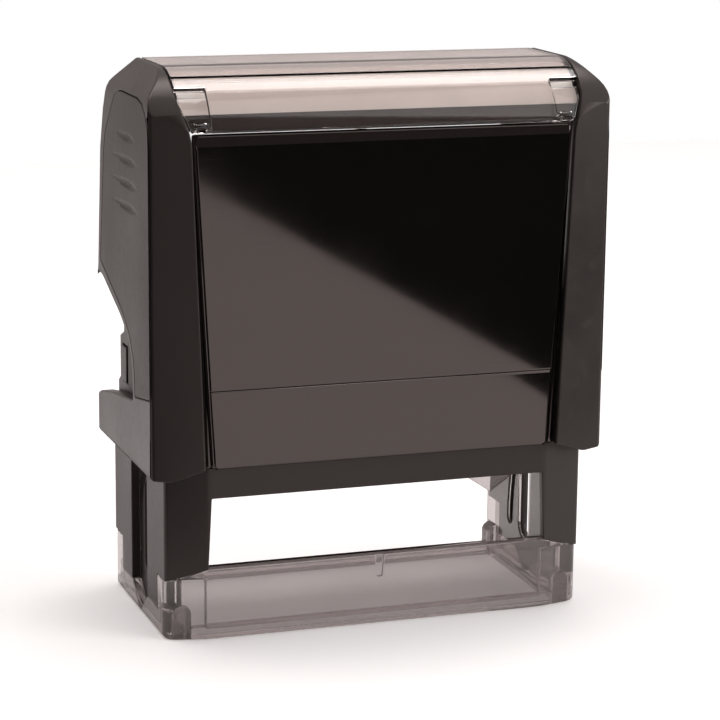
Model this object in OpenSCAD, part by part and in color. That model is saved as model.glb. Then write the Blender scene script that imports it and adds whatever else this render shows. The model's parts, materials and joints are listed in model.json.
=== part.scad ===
// Self-inking text stamp with a smoke-clear base and index window.
// X runs along the text plate, the front faces -Y, Z is up and z = 0 is the paper.
// The cap is drawn at the top of its travel, with the rubber face up against the ink pad.

/* [Text plate] */
// Length of the text plate
plate_l = 64; // [54:1:78]
// Depth of the text plate, front to back
plate_d = 26; // [20:1:32]
// Thickness of the text plate
plate_t = 1.2; // [0.8:0.1:2]
// Thickness of the rubber die, relief included
rubber_t = 1.9; // [1.5:0.1:3]
// Height of the raised print on the rubber die
relief_t = 0.8; // [0.5:0.1:1.2]
// How far the rubber die stays inside the edge of the text plate
rubber_inset = 0.8; // [0.4:0.1:1.5]

/* [Press] */
// Travel of the cap
stroke = 28; // [26:1:34]
// Height of the rubber face above the axle
face_h = 9; // [8.5:0.1:11]
// Diameter of the axle
axle_d = 4; // [3:0.2:5]
// Radius at which the cam pins sit from the axle
cam_r = 6.5; // [5.8:0.1:6.6]
// Diameter of the cam pins
pin_d = 2; // [1.6:0.1:2.4]

/* [Housing] */
// Wall of the cap's cheeks
cheek_t = 2.4; // [2:0.1:3.4]
// Outer layer of the frame's side wall, which holds the arm slots
slot_layer_t = 1.6; // [1.6:0.1:3]
// Inner layer of the frame's side wall with the clear liner, which hold the cam tracks
cam_layer_t = 1.7; // [1.5:0.1:2.2]
// Front wall of the frame
frame_front_t = 1.6; // [1.2:0.1:2.4]
// Thickness of the deck above the cartridge
deck_t = 2; // [1.5:0.1:3]
// Wall of the clear base
base_wall = 1.8; // [1.2:0.1:2]
// Flange round the foot of the clear base
flange_t = 1.6; // [1:0.1:2.2]
// Width of an arm slot in the frame
slot_w = 11; // [10.4:0.1:11.6]
// Front panel of the cap
panel_t = 1; // [0.8:0.1:1.4]
// Thickness of the index window
window_t = 1.2; // [0.8:0.1:1.6]

/* [Ink cartridge] */
// Thickness of the ink pad
pad_t = 4.6; // [3:0.1:6]
// Height of the ink cartridge above the exposed face of the pad
cartridge_h = 9.2; // [8:0.1:11]

/* [Fits] */
// Gap between the cap and the frame's sides
slide_gap = 0.5; // [0.3:0.05:0.7]
// Gap between parts that turn and parts that stand
run_gap = 0.3; // [0.2:0.05:0.4]
// Radial gap round pins and axles
pin_gap = 0.15; // [0.1:0.05:0.3]
// Clear room round the sweep of the die
sweep_gap = 2.7; // [2:0.1:4]

/* [Spring] */
// Wire of the return spring
wire_d = 0.9; // [0.6:0.1:1.2]
// Mean diameter of the return spring
coil_d = 9; // [8:0.5:12]
// Turns of the return spring
coil_turns = 6; // [4:1:7]

/* [Hidden] */
$fn = 48;
EPS = 0.02;

// Half lengths of the printing unit and of the walls outside it, in order from the middle.
plate_hx = plate_l / 2;
carrier_hx = plate_hx + 1.7;
end_plate_t = 1.3;
unit_hx = carrier_hx + end_plate_t;
cam_x = unit_hx + run_gap;
slot_x = cam_x + cam_layer_t;
frame_hx = slot_x + slot_layer_t;
cap_in_x = frame_hx + slide_gap;
cap_hx = cap_in_x + cheek_t;
arm_x = slot_x + 0.2;

// The sweep of the die sets the depth of the frame and of the cap.
rubber_hx = plate_hx - rubber_inset;
rubber_hy = plate_d / 2 - rubber_inset;
plate_top = face_h - rubber_t;
sweep_r = max(norm([rubber_hy, face_h]), norm([plate_d / 2, plate_top]));
frame_fy = sweep_r + sweep_gap + frame_front_t;
frame_side_fy = frame_fy - 1.8;
frame_ry = frame_side_fy + 0.5;
cap_in_fy = frame_fy + 0.44;
panel_fy = cap_in_fy + panel_t;
cap_fy = panel_fy + 0.7;
cap_ry = cap_fy;
cap_in_ry = cap_ry - 2.2;

// The die turns half a turn while the cap travels down, so a corner of it leads the flat face.
turn_rate = stroke / PI;
function corner_z(y, z, a) = z * cos(a) + y * sin(a) - turn_rate * a * PI / 180;
corner_rise = max([for (a = [0:2:90]) max(corner_z(rubber_hy, face_h, a),
                                          corner_z(plate_d / 2, plate_top, a))]) - face_h;
paper_gap = corner_rise + 0.05;
axle_z = stroke + face_h + paper_gap;
pad_z = axle_z + face_h + corner_rise + run_gap;
cartridge_top = pad_z + cartridge_h;
deck_z = cartridge_top + 0.5;
deck_top = deck_z + deck_t;
spring_room = 8.5;
roof_in_z = deck_top + stroke + spring_room;
roof_t = 3;
cap_top = roof_in_z + roof_t;

// Levels and widths of the cap.
skirt_z = stroke + 1;
skirt_out_z = skirt_z + 0.4;
skirt_in_z = skirt_z + 1.9;
block_z = axle_z + 3;
band_top = block_z - 2;
notch_top = block_z + 20;
nose_r = 13;
crease_z = skirt_z + 15.3;
panel_top = cap_top - 10.4;
rear_open_top = cap_top - 12.4;
rear_open_x = unit_hx - 0.4;
window_hx = cap_hx - 5.2;
window_bend_z = cap_top - 5;
window_ry = 4.5;
catch_x = window_hx - 5.3;
seam = 0.2;
skin_gap = 0.1;
card_t = 0.3;

// Levels and widths of the frame and of the clear base. The frame narrows at the rear where the
// raked rear of the cap comes down past it.
opening_hx = plate_hx - 1.4;
facet_x = plate_hx - 1;
opening_z = skirt_z - 3.7;
opening_draft = 0.6;
leg_in_z = 12.8;
leg_out_z = 10.6;
tongue_z = 4.5;
point_z = 1;
tongue_hy = frame_side_fy - 5.2;
rear_leg_z = notch_top - 2.2 - stroke;
rear_step_z = block_z - 1;
neck_z = rear_step_z + 8.5;
hip_ry = frame_ry - 3.9;
waist_ry = frame_ry - 5.4;
neck_ry = frame_ry - 8.2;
liner_t = 0.6;
liner_x = cam_x + liner_t;
liner_fy = tongue_hy - 1.1;
liner_top = rear_leg_z - 3.4;
fit_gap = 0.05;
skin_x = frame_hx - 1.2;
rear_wall_y = frame_ry - frame_front_t;
gusset_z = leg_out_z + 0.8;
rear_wall_z = gusset_z + 4;
flange_in_x = carrier_hx + run_gap;
flange_in_y = plate_d / 2 + 1.2;

// Lock buttons: place, size and gap in the frame's side wall.
lock_y = 9;
lock_w = 3.4;
lock_h = 6.4;
lock_z = rear_step_z + 3.9;
lock_gap = 0.25;
lock_lip = 0.9;
lock_flange_t = 0.9;

// Cartridge, rails and pad.
tray_hx = plate_hx + 1;
tray_hy = plate_d / 2 + 1.6;
tray_flange_hx = cam_x - 1.1;
tray_flange_z = cartridge_top - 2.4;
pad_hy = plate_d / 2 - 0.2;
rail_t = 1.5;
rail_in_x = tray_hx + 0.4;

boss_r = coil_d / 2 - wire_d / 2 - 0.5;

// Points of an outline whose corners are rounded off over the distances in reach.
function soft(points, reach, steps = 5) = [
    for (i = [0:len(points) - 1])
        let (b = points[i], r = reach[i],
             a = points[(i + len(points) - 1) % len(points)], c = points[(i + 1) % len(points)],
             from = b + r * (a - b) / norm(a - b), to = b + r * (c - b) / norm(c - b))
        for (k = r == 0 ? [0] : [0:steps])
            let (t = r == 0 ? 0 : k / steps)
            r == 0 ? b : pow(1 - t, 2) * from + 2 * t * (1 - t) * b + t * t * to];

// An outline in Y and Z, run along X.
module along_x(x0, x1) {
    translate([x0, 0, 0]) rotate([90, 0, 90]) linear_extrude(x1 - x0) children();
}

// An outline in X and Z, run along Y.
module along_y(y0, y1) {
    translate([0, y1, 0]) rotate([90, 0, 0]) linear_extrude(y1 - y0) children();
}

module along_z(z0, z1) {
    translate([0, 0, z0]) linear_extrude(z1 - z0) children();
}

module box(x0, x1, y0, y1, z0, z1) {
    translate([x0, y0, z0]) cube([x1 - x0, y1 - y0, z1 - z0]);
}

module rod_x(x0, x1, y, z, r) {
    translate([x0, y, z]) rotate([0, 90, 0]) cylinder(h = x1 - x0, r = r);
}

module both_sides() {
    children();
    mirror([1, 0, 0]) children();
}

// Plan of the frame and the clear base, inset by d, with its corners eased over ease.
module frame_plan(d = 0, ease = 2) {
    x = frame_hx - d;
    polygon(soft([[-facet_x, -frame_fy + d], [facet_x, -frame_fy + d], [x, -frame_side_fy + d],
                  [x, frame_ry - d], [-x, frame_ry - d], [-x, -frame_side_fy + d]],
                 ease * [1, 1, 1, 1, 1, 1]));
}

// Track of a cam pin through the frame while the cap travels: the axle's fall plus the turn.
function cam_point(a) = [-cam_r * cos(a), axle_z - turn_rate * a * PI / 180 + cam_r * sin(a)];
function cam_normal(a) =
    let (d = cam_point(a + 1) - cam_point(a - 1)) [d[1], -d[0]] / norm(d);

module cam_track(x1) {
    half = pin_d / 2 + 0.3;
    side = [for (a = [0:10:180]) cam_point(a) + half * cam_normal(a)];
    back = [for (a = [180:-10:0]) cam_point(a) - half * cam_normal(a)];
    along_x(cam_x - 1, x1) {
        polygon(concat(side, back));
        translate(cam_point(0)) circle(half);
        translate(cam_point(180)) circle(half);
    }
}

// Slot that the axle's end runs down in, as far as x1.
module axle_slot(x1) {
    r = axle_d / 2 + 0.35;
    box(cam_x - 1, x1, -r, r, axle_z - stroke, axle_z);
    rod_x(cam_x - 1, x1, 0, axle_z, r);
    rod_x(cam_x - 1, x1, 0, axle_z - stroke, r);
}

module lock_pocket() {
    box(cam_x - 1, frame_hx + 1, lock_y - lock_w / 2 - lock_gap, lock_y + lock_w / 2 + lock_gap,
        lock_z - lock_h / 2 - lock_gap, lock_z + lock_h / 2 + lock_gap);
    box(cam_x - 1, slot_x, lock_y - lock_w / 2 - lock_lip - lock_gap,
        lock_y + lock_w / 2 + lock_lip + lock_gap, lock_z - lock_h / 2 - lock_lip - lock_gap,
        lock_z + lock_h / 2 + lock_lip + lock_gap);
}

// Side view of the frame: a point below the arm slot, full depth at the legs, waisted above.
module frame_side_view() {
    polygon([[-frame_fy, leg_out_z], [-tongue_hy, leg_out_z], [-tongue_hy, tongue_z],
             [-slot_w / 2, tongue_z], [-1, point_z], [1, point_z], [slot_w / 2, tongue_z],
             [tongue_hy, tongue_z], [tongue_hy, leg_out_z], [frame_ry, leg_out_z],
             [frame_ry, rear_leg_z - 1.5], [frame_ry - 2, rear_leg_z], [hip_ry, rear_leg_z],
             [hip_ry, rear_step_z], [waist_ry, rear_step_z + 1], [waist_ry, neck_z],
             [neck_ry, neck_z + 1.2],
             [neck_ry, deck_top], [-frame_fy, deck_top]]);
}

module frame_body() {
    color([0.13, 0.12, 0.12])
    difference() {
        intersection() {
            along_z(0, deck_top) frame_plan(ease = 0.7);
            along_x(-frame_hx, frame_hx) frame_side_view();
        }
        // Room for the printing unit and the cartridge, open at the rear.
        box(-cam_x, cam_x, -frame_fy + frame_front_t, frame_ry + 1, 0, deck_top + 1);
        // Front opening, and the slant from the legs down to the sides.
        along_y(-frame_fy - 1, 0)
            polygon([[-opening_hx - opening_draft, 0], [opening_hx + opening_draft, 0],
                     [opening_hx + opening_draft, leg_in_z], [opening_hx, opening_z],
                     [-opening_hx, opening_z], [-opening_hx - opening_draft, leg_in_z]]);
        both_sides() along_y(-frame_fy - 1, -tongue_hy)
            polygon([[0, 0], [frame_hx, 0], [frame_hx, leg_out_z], [facet_x, leg_in_z], [0, leg_in_z]]);
        both_sides() {
            box(slot_x, frame_hx + 1, -slot_w / 2, slot_w / 2, 0, deck_top + 1);
            axle_slot(slot_x + EPS);
            cam_track(slot_x);
            lock_pocket();
            // Seat of the clear base's liner.
            box(cam_x - 1, liner_x + fit_gap, -liner_fy - fit_gap, frame_ry + 1, 0,
                liner_top + fit_gap);
        }
    }
}

// Deck above the cartridge, with rails that the cartridge hangs in and a seat for the spring.
module frame_deck() {
    deck_fy = -frame_fy + frame_front_t;
    color([0.14, 0.13, 0.13]) {
        difference() {
            union() {
                box(-cam_x, cam_x, deck_fy, neck_ry, deck_z, deck_top);
                translate([0, 0, deck_top - EPS]) cylinder(h = 3.6 + EPS, r = boss_r);
                both_sides() {
                    box(tray_flange_hx + run_gap, cam_x, deck_fy, neck_ry, tray_flange_z - run_gap - rail_t,
                        deck_z + EPS);
                    box(rail_in_x, cam_x, -tray_hy, neck_ry, tray_flange_z - run_gap - rail_t,
                        tray_flange_z - run_gap);
                }
                // Stop that the cartridge meets when it is pushed home.
                box(-plate_hx / 2, plate_hx / 2, deck_fy, -tray_hy - 0.3, tray_flange_z, deck_z + EPS);
            }
            translate([0, 0, deck_z - 1]) cylinder(h = deck_t + 6, r = boss_r - 1.2);
            for (x = [-1, 1] * plate_hx * 0.55)
                box(x - 6, x + 6, -5, neck_ry - 3, deck_z - 1, deck_top + 1);
        }
    }
}

module base_skirt() {
    wall_top = leg_in_z - fit_gap;
    difference() {
        along_z(0, wall_top) frame_plan();
        // Inside of the skirt.
        difference() {
            along_z(flange_t, wall_top + 1) frame_plan(base_wall);
            // Corner blocks that the legs stand on.
            both_sides() for (y = [-frame_fy, tongue_hy])
                box(opening_hx + 0.6, frame_hx, y, y == tongue_hy ? frame_ry : -tongue_hy,
                    0, leg_out_z);
        }
        // Window in the foot that the rubber prints through.
        box(-flange_in_x, flange_in_x, -flange_in_y, flange_in_y, -1, flange_t + 1);
        // Room for the printing unit's ends.
        box(-cam_x, cam_x, -sweep_r - 1, sweep_r + 1, flange_t, wall_top + 1);
        // The top edge follows the feet of the frame.
        both_sides() {
            box(opening_hx - 1, frame_hx + 1, tongue_hy - 1, frame_ry + 1, leg_out_z - fit_gap, wall_top + 1);
            box(cam_x - 1, frame_hx + 1, -tongue_hy - fit_gap, tongue_hy + fit_gap,
                tongue_z - fit_gap, wall_top + 1);
            along_y(-frame_fy - 1, -tongue_hy)
                polygon([[facet_x, leg_in_z - fit_gap], [frame_hx, leg_out_z - fit_gap],
                         [frame_hx + 1, leg_out_z - fit_gap], [frame_hx + 1, wall_top + 1],
                         [facet_x, wall_top + 1]]);
            // Point below the arm slot.
            along_x(cam_x - 1, frame_hx + 1)
                polygon([[-slot_w / 2, tongue_z], [slot_w / 2, tongue_z], [1, point_z - 0.2],
                         [-1, point_z - 0.2]]);
        }
        // Open rear between two thin corner posts.
        box(-skin_x, skin_x, tongue_hy, frame_ry + 1, flange_t, wall_top + 1);
        // Placing mark at the middle of the front edge.
        along_y(-frame_fy - 1, -frame_fy + 0.4)
            polygon([[-0.5, wall_top - 4], [0.5, wall_top - 4], [0.9, wall_top + 1], [-0.9, wall_top + 1]]);
        base_pads(run_gap / 3);
    }
}

// Liner that stands up from the flange inside the frame's side and guides the cam pin.
module base_liner() {
    difference() {
        box(cam_x, liner_x, -liner_fy, frame_ry - fit_gap, flange_t / 2, liner_top);
        axle_slot(slot_x + 1);
        cam_track(slot_x + 1);
        base_pads(run_gap / 3);
    }
}

// Low rear wall between the liners, with a gusset at each of them.
module base_rear_wall() {
    along_y(rear_wall_y, frame_ry - fit_gap)
        polygon([[-liner_x, gusset_z], [-liner_x + 6, rear_wall_z], [liner_x - 6, rear_wall_z],
                 [liner_x, gusset_z], [liner_x, liner_top], [-liner_x, liner_top]]);
}

module clear_base() {
    color([0.55, 0.53, 0.53, 0.5]) {
        base_skirt();
        both_sides() base_liner();
        base_rear_wall();
    }
}

// Arch-shaped inserts in the corners of the clear base, grown by d for their pockets.
pad_hw = 1.6;
pad_y0 = frame_side_fy - 0.75;
pad_y1 = tongue_hy + 1.1;
pad_x = frame_hx - 1 - pad_hw - 0.6;
pad_arch_z = 4.3;

module base_pad(x, side, d = 0) {
    r = pad_hw + d;
    y0 = min(side * pad_y0, side * pad_y1) - d;
    y1 = max(side * pad_y0, side * pad_y1) + d;
    translate([x, 0, 0]) {
        box(-r, r, y0, y1, d > 0 ? -1 : 0, pad_arch_z);
        translate([0, y0, pad_arch_z]) rotate([-90, 0, 0]) cylinder(h = y1 - y0, r = r);
    }
}

module base_pads(d) {
    for (x = [-pad_x, pad_x], side = [-1, 1]) base_pad(x, side, d);
}

module corner_pad(sx, sy) {
    color([0.2, 0.19, 0.19]) base_pad(sx * pad_x, sy);
}

module base_pad_front_left() { corner_pad(-1, -1); }
module base_pad_front_right() { corner_pad(1, -1); }
module base_pad_rear_left() { corner_pad(-1, 1); }
module base_pad_rear_right() { corner_pad(1, 1); }

// Side view of the closed cap, inset by d: upright front, round nose, flat top, raked rear.
module cap_side_view(d = 0, foot = 20) {
    top = cap_top - d;
    r = nose_r - d;
    foot_ry = cap_ry + 1 - d;
    translate([-cap_fy + nose_r, cap_top - nose_r]) circle(r);
    polygon([[-cap_fy + nose_r, top], [-cap_fy + nose_r, cap_top - nose_r], [-cap_fy + d, cap_top - nose_r],
             [-cap_fy + d, foot], [foot_ry, foot], [foot_ry, rear_step_z - 2],
             [cap_ry - 4.4 - d, notch_top], [cap_ry - 7 - d, cap_top - 16.6],
             [cap_ry - 9.4 - d, cap_top - 9.4], [cap_ry - 12.4 - d, cap_top - 4.2 - d * 0.4],
             [cap_ry - 17 - d * 0.4, top]]);
}

// Plan of the cap, with shallow facets in front and soft corners.
module cap_plan() {
    x = cap_hx;
    flat_hx = cheek_in_x(skirt_in_z) + 0.4;
    polygon(soft([[-flat_hx, -cap_fy], [flat_hx, -cap_fy], [x, -cap_fy + 1.5],
                  [x, cap_ry - 3], [x - 2.6, cap_ry], [-x + 2.6, cap_ry], [-x, cap_ry - 3],
                  [-x, -cap_fy + 1.5]],
                 [0, 0, 0.7, 1.2, 1.2, 1.2, 1.2, 0.7], 3));
}

// Half widths at height z of the front panel's face and of the gap between the cheeks, which
// part as they go down and leave a tapering groove on each side of the face.
function panel_hx(z) = plate_hx - 1.4 + (z - skirt_in_z) * 0.058;
function cheek_in_x(z) = plate_hx + 0.2 + (z - skirt_in_z) * 0.038;

// Front view of the window, whose ends draw in towards the front panel.
module window_front_view() {
    low_hx = cheek_in_x(panel_top) - seam;
    polygon(soft([[-window_hx, cap_top + 1], [window_hx, cap_top + 1], [window_hx, window_bend_z],
                  [low_hx, panel_top], [-low_hx, panel_top], [-window_hx, window_bend_z]],
                 [0, 0, 2, 0, 0, 2], 3));
}

// Front view of the right cheek, inner edge beside the panel and the window.
module cheek_front_view() {
    polygon(soft([[cheek_in_x(skirt_in_z), skirt_in_z], [cap_hx - 3.5, skirt_z], [cap_hx, skirt_out_z],
                  [cap_hx, cap_top - 4.8], [cap_hx - 5.6, cap_top + 1.6],
                  [window_hx + seam, cap_top + 1.6], [window_hx + seam, window_bend_z],
                  [cheek_in_x(panel_top), panel_top]],
                 [0, 0.6, 0.6, 1.6, 0, 0, 2.6, 2.6], 3));
}

// Cut that leaves the lower block and the front strip of a cheek standing.
module cheek_notch() {
    polygon(soft([[cap_ry + 5, notch_top - 1.6], [cap_ry - 7.2, notch_top - 1.6], [-0.6, notch_top - 7],
                  [-4.8, notch_top - 9.8], [-7.3, notch_top - 13.4], [-7.8, block_z + 0.2],
                  [7, block_z - 1.6], [cap_ry - 5, block_z - 3.4], [cap_ry + 5, block_z - 8]],
                 [0, 1, 3, 1.5, 1.8, 0.8, 1, 1.5, 0], 4));
}

// Hollow of the cap, which clears the frame all the way down.
module cap_hollow() {
    intersection() {
        along_z(0, roof_in_z)
            polygon([[-facet_x, -cap_in_fy], [facet_x, -cap_in_fy], [cap_in_x, -cap_in_fy + 1.9],
                     [cap_in_x, cap_in_ry], [-cap_in_x, cap_in_ry], [-cap_in_x, -cap_in_fy + 1.9]]);
        union() {
            along_x(-cap_in_x, cap_in_x) cap_side_view(cap_fy - cap_in_fy, 0);
            box(-cap_in_x, cap_in_x, 0, cap_in_ry, 0, band_top);
        }
    }
}

// Grip insert: its outline is the cheek's side inside a margin. Grown by d for its recess.
grip_t = 0.9;

module grip_side_view(d = 0) {
    top = cap_top - 5.2;
    foot = block_z + 1.2;
    polygon(soft([[-cap_fy + 1.9 - d, foot + 1.6 - d], [-cap_fy + 1.9 - d, top + d], [2.6 + d, top + d],
                  [cap_ry - 10.4 + d, top - 9], [cap_ry - 6.4 + d, notch_top + 1 - d],
                  [cap_ry - 9 + d, notch_top - d], [-1.2, notch_top - 5.4 - d],
                  [-5.9, notch_top - 8.6 - d], [-8.9 + d, notch_top - 13],
                  [-9.4 + d, foot - d]],
                 [1, 8, 3, 3, 1, 1, 3, 1.5, 1.8, 0.5], 4));
}

module cheek() {
    color([0.15, 0.14, 0.14])
    difference() {
        intersection() {
            along_z(0, cap_top + 2) cap_plan();
            along_x(0, cap_hx + 1) cap_side_view();
            along_y(-cap_fy - 2, cap_ry + 2) cheek_front_view();
        }
        cap_hollow();
        along_x(0, cap_hx + 1) cheek_notch();
        along_x(cap_hx - grip_t, cap_hx + 1) grip_side_view(0.1);
        // Rear opening and the pocket for the rear panel.
        box(0, rear_open_x, 0, cap_ry + 1, 0, rear_open_top);
        box(0, window_hx + seam, window_ry - 4, cap_ry + 1, rear_open_top - 1, cap_top + 1);
    }
}

module left_cheek() { mirror([1, 0, 0]) cheek(); }
module right_cheek() { cheek(); }

// Boat-shaped finger scoop, deepest a third of the way from its front end.
module finger_scoop(y0, y1, z) {
    r = 1.15;
    depth = 0.45;
    peak = y0 + (y1 - y0) / 3;
    translate([cap_hx + r - depth, 0, z]) {
        translate([0, peak, 0]) rotate([90, 0, 0]) cylinder(h = peak - y0, r1 = r, r2 = r - depth);
        translate([0, peak, 0]) rotate([-90, 0, 0]) cylinder(h = y1 - peak, r1 = r, r2 = r - depth);
    }
}

module grip() {
    color([0.2, 0.19, 0.19])
    difference() {
        intersection() {
            along_x(cap_hx - grip_t, cap_hx) grip_side_view();
            along_z(0, cap_top) cap_plan();
        }
        for (i = [0:3])
            finger_scoop(i == 0 ? -11 : -13.2, i == 0 ? 4 : 7, cap_top - 12.5 - i * 4);
    }
}

module left_grip() { mirror([1, 0, 0]) grip(); }
module right_grip() { grip(); }

module front_panel() {
    foot = skirt_in_z - 0.1;
    back_hx = cheek_in_x(foot) - seam;
    back_top_hx = cheek_in_x(panel_top) - seam;
    color([0.05, 0.05, 0.05])
    difference() {
        union() {
            along_y(-panel_fy, -cap_in_fy)
                polygon(soft([[-panel_hx(foot), foot], [panel_hx(foot), foot],
                              [panel_hx(panel_top), panel_top], [-panel_hx(panel_top), panel_top]],
                             [0.8, 0.8, 0.8, 0.8], 3));
            // Backing that closes the grooves beside the face.
            along_y(-panel_fy + panel_t / 2, -cap_in_fy)
                polygon([[-back_hx, foot + 0.1], [back_hx, foot + 0.1],
                         [back_top_hx, panel_top], [-back_top_hx, panel_top]]);
        }
        // Plain lower band, which slopes back a little up to the crease.
        along_x(-cap_hx, cap_hx)
            polygon([[-panel_fy - 1, foot], [-panel_fy - EPS, foot + 1], [-panel_fy + 0.25, crease_z],
                     [-panel_fy - 1, crease_z + 0.3]]);
        // Its top follows the nose of the cap.
        along_x(-cap_hx, cap_hx) difference() {
            translate([-cap_fy - 2, cap_top - nose_r]) square([6, nose_r]);
            translate([-cap_fy + nose_r, cap_top - nose_r]) circle(nose_r - cap_fy + panel_fy);
        }
    }
}

// Upper rear piece, between the window and the cartridge opening.
module rear_panel() {
    color([0.14, 0.13, 0.13])
    difference() {
        intersection() {
            along_x(-window_hx, window_hx) difference() {
                cap_side_view();
                cap_side_view(2);
            }
            box(-window_hx, window_hx, window_ry + skin_gap, cap_ry, rear_open_top, cap_top);
        }
        // Three shallow finger ribs.
        for (i = [0:2]) translate([0, cap_ry - 10.4 - i * 1.3, cap_top - 7 + i * 1.9])
            box(-10, 10, -0.4, 3, -0.35, 0.35);
    }
}

// Lower rear piece that ties the two cheeks together.
module rear_band() {
    color([0.14, 0.13, 0.13])
    difference() {
        along_y(cap_in_ry, cap_ry)
            polygon([[-rear_open_x, skirt_in_z], [rear_open_x, skirt_in_z],
                     [rear_open_x, band_top], [-rear_open_x, band_top]]);
        for (x = [-1, 1] * plate_hx * 0.5)
            box(x - 8, x + 8, cap_ry - 0.5, cap_ry + 1, skirt_in_z + 1.5, band_top - 1.5);
    }
}

// Bridge under the index card: it ties the cheeks and holds the upper end of the spring.
module cap_bridge() {
    upper = window_t + card_t + 2 * skin_gap;
    lower = cap_top - roof_in_z;
    color([0.14, 0.13, 0.13]) {
        intersection() {
            along_x(-window_hx, window_hx) difference() {
                cap_side_view(upper);
                cap_side_view(lower);
            }
            along_y(-cap_fy, window_ry) window_front_view();
            box(-window_hx, window_hx, -cap_fy, window_ry, panel_top + 0.4, cap_top + 2);
        }
        difference() {
            translate([0, 0, roof_in_z - 4]) cylinder(h = 4 + EPS, r = boss_r);
            translate([0, 0, roof_in_z - 5]) cylinder(h = 5, r = boss_r - 1.2);
        }
    }
}

module drive_arm() {
    hy = slot_w / 2 - 0.4;
    foot = axle_z - 4.6;
    color([0.16, 0.15, 0.15])
    difference() {
        along_x(arm_x, cap_in_x)
            polygon(soft([[-hy, foot], [hy, foot], [hy, roof_in_z], [-hy, roof_in_z]], [3, 3, 0, 0]));
        rod_x(arm_x - 1, cap_in_x + 1, 0, axle_z, axle_d / 2 + pin_gap);
        // Weight-saving slot between the hub and the roof.
        box(arm_x + 1.2, cap_in_x + 1, -2, 2, notch_top + 4, roof_in_z - 6);
    }
}

module drive_arm_left() { mirror([1, 0, 0]) drive_arm(); }
module drive_arm_right() { drive_arm(); }

module index_card() {
    d = window_t + skin_gap;
    color([0.9, 0.9, 0.88])
    intersection() {
        along_x(-window_hx + 0.6, window_hx - 0.6) difference() {
            cap_side_view(d);
            cap_side_view(d + card_t);
        }
        box(-window_hx, window_hx, -cap_fy, window_ry - 0.2, panel_top + 2.9, cap_top);
    }
}

// Slice of the nose between two angles above the level, as deep as depth.
module nose_band(x0, x1, a0, a1, depth) {
    far = nose_r + 2;
    along_x(x0, x1) translate([-cap_fy + nose_r, cap_top - nose_r]) difference() {
        polygon([[0, 0], for (a = [a0, (a0 + a1) / 2, a1]) far * [-cos(a), sin(a)]]);
        circle(nose_r - depth);
    }
}

// Wedge cut from the nose between two angles, from radius r at a0 and tipped by tip there.
module nose_slant(x0, x1, a0, a1, r, tip) {
    low = r * cos(tip) / cos(tip - a1 + a0);
    far = nose_r + 2;
    along_x(x0, x1) translate([-cap_fy + nose_r, cap_top - nose_r])
        polygon([r * [-cos(a0), sin(a0)], low * [-cos(a1), sin(a1)],
                 far * [-cos(a1), sin(a1)], far * [-cos(a0), sin(a0)]]);
}

// Outline of a bar with round ends, from its left centre.
module oblong(reach, r) {
    hull() {
        translate([r, 0]) circle(r);
        translate([reach - r, 0]) circle(r);
    }
}

module window_shell() {
    difference() {
        intersection() {
            along_x(-window_hx, window_hx) difference() {
                cap_side_view();
                cap_side_view(window_t);
            }
            along_y(-cap_fy - 1, window_ry) window_front_view();
            box(-window_hx, window_hx, -cap_fy - 1, window_ry, panel_top + 0.2, cap_top + 2);
        }
        // Groove along the nose, in front of the flat top.
        nose_band(-window_hx, window_hx, 61, 63, 0.35);
        // Catch at each end: a slot right through, with a slant and a shallow step below it.
        both_sides() {
            nose_band(catch_x, window_hx + 1, 43, 50, window_t + 1);
            nose_slant(catch_x, window_hx + 1, 32, 44, nose_r - 0.25, 15);
            nose_band(catch_x, window_hx + 1, 8, 33, 0.25);
        }
    }
}

// Oblong ring at the foot of a catch.
module catch_ring() {
    intersection() {
        along_y(-cap_fy, -cap_fy + 1) translate([catch_x + 0.45, panel_top + 1]) difference() {
            oblong(2.7, 0.75);
            translate([0.4, 0]) oblong(1.9, 0.35);
        }
        along_x(catch_x, window_hx) difference() {
            cap_side_view(0.05);
            cap_side_view(0.5);
        }
    }
}

module index_window() {
    color([0.62, 0.6, 0.6, 0.5]) {
        window_shell();
        both_sides() catch_ring();
    }
}

// Printing unit, drawn face up.
module die_carrier() {
    plate_z = axle_z + plate_top - plate_t;
    shelf_t = 1.5;
    hub_r = axle_d / 2 + 1.4;
    color([0.17, 0.16, 0.16])
    difference() {
        union() {
            box(-carrier_hx, carrier_hx, -plate_d / 2 + 0.4, plate_d / 2 - 0.4, plate_z - shelf_t, plate_z);
            rod_x(-unit_hx, unit_hx, 0, axle_z, hub_r);
            // Ribs between the hub and the shelf.
            for (i = [-2:2]) let (x = i * (plate_hx - 4) / 2)
                along_x(x - 0.6, x + 0.6)
                    polygon([[-hub_r + 0.4, axle_z], [hub_r - 0.4, axle_z],
                             [plate_d / 2 - 3, plate_z - shelf_t + EPS],
                             [-plate_d / 2 + 3, plate_z - shelf_t + EPS]]);
            // End plates, each with the boss of its cam pin.
            both_sides() {
                along_x(carrier_hx - EPS, unit_hx)
                    polygon(soft([[-cam_r - 1.6, axle_z - 1.6], [4.2, axle_z - 1.6], [4.6, plate_z],
                                  [-5.5, plate_z], [-cam_r - 1.6, axle_z + 2.4]],
                                 [1, 1, 0.6, 0.6, 1]));
                rod_x(unit_hx - EPS, slot_x - 0.2, -cam_r, axle_z, pin_d / 2);
            }
            // Lips at the ends that hold the text plate.
            both_sides() box(plate_hx + 0.2, carrier_hx, -6, 6, plate_z - EPS, plate_z + plate_t + 0.3);
        }
        rod_x(-unit_hx - 1, unit_hx + 1, 0, axle_z, axle_d / 2 + 0.03);
    }
}

module axle() {
    color([0.75, 0.75, 0.74]) rod_x(-cap_in_x + 0.2, cap_in_x - 0.2, 0, axle_z, axle_d / 2);
}

module text_plate() {
    z = axle_z + plate_top;
    color([0.85, 0.84, 0.8])
        box(-plate_hx, plate_hx, -plate_d / 2, plate_d / 2, z - plate_t, z);
}

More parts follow.
